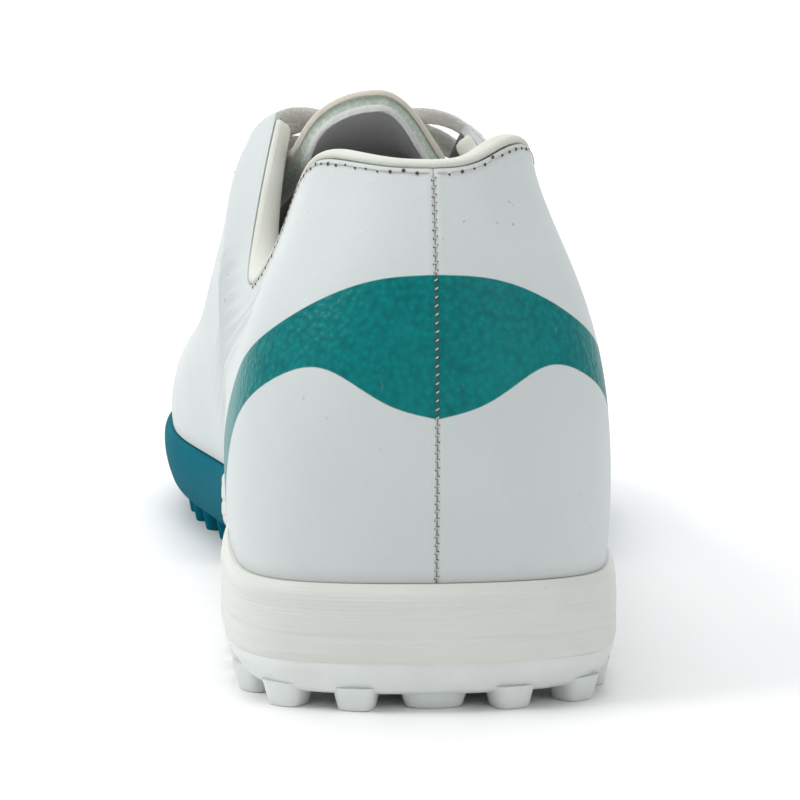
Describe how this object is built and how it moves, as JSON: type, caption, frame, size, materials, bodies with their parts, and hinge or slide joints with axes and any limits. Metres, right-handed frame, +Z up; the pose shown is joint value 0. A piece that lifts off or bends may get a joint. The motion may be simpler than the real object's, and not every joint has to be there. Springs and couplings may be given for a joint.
{
  "type": "turf shoe",
  "caption": "Right turf shoe for artificial grass: hollow lasted leather upper, padded low collar, arched tongue, laces, foam midsole and two-tone rubber outsole with short studs",
  "frame": {"origin": "under the middle of the sole's box, on the floor that the studs stand on", "axes": "+Y to the toe, +X to the outer (lateral) side, +Z up"},
  "size_m": [0.1001, 0.288, 0.102],
  "materials": {
    "heel_rubber": "satin, slightly translucent white rubber",
    "forefoot_rubber": "satin teal rubber",
    "foam": "matte moulded foam",
    "sock_liner": "matte knitted cloth on foam",
    "leather": "fine grained coated leather, soft sheen",
    "lining": "matte brushed lining",
    "tongue": "matte padded cloth",
    "lace": "flat woven lace"
  },
  "bodies": {
    "root": {"outsole_heel": "heel_rubber", "outsole_forefoot": "forefoot_rubber", "midsole": "foam", "insole": "sock_liner", "upper": "leather", "collar_lining": "lining", "tongue": "tongue", "laces": "lace"}
  },
  "joints": []
}
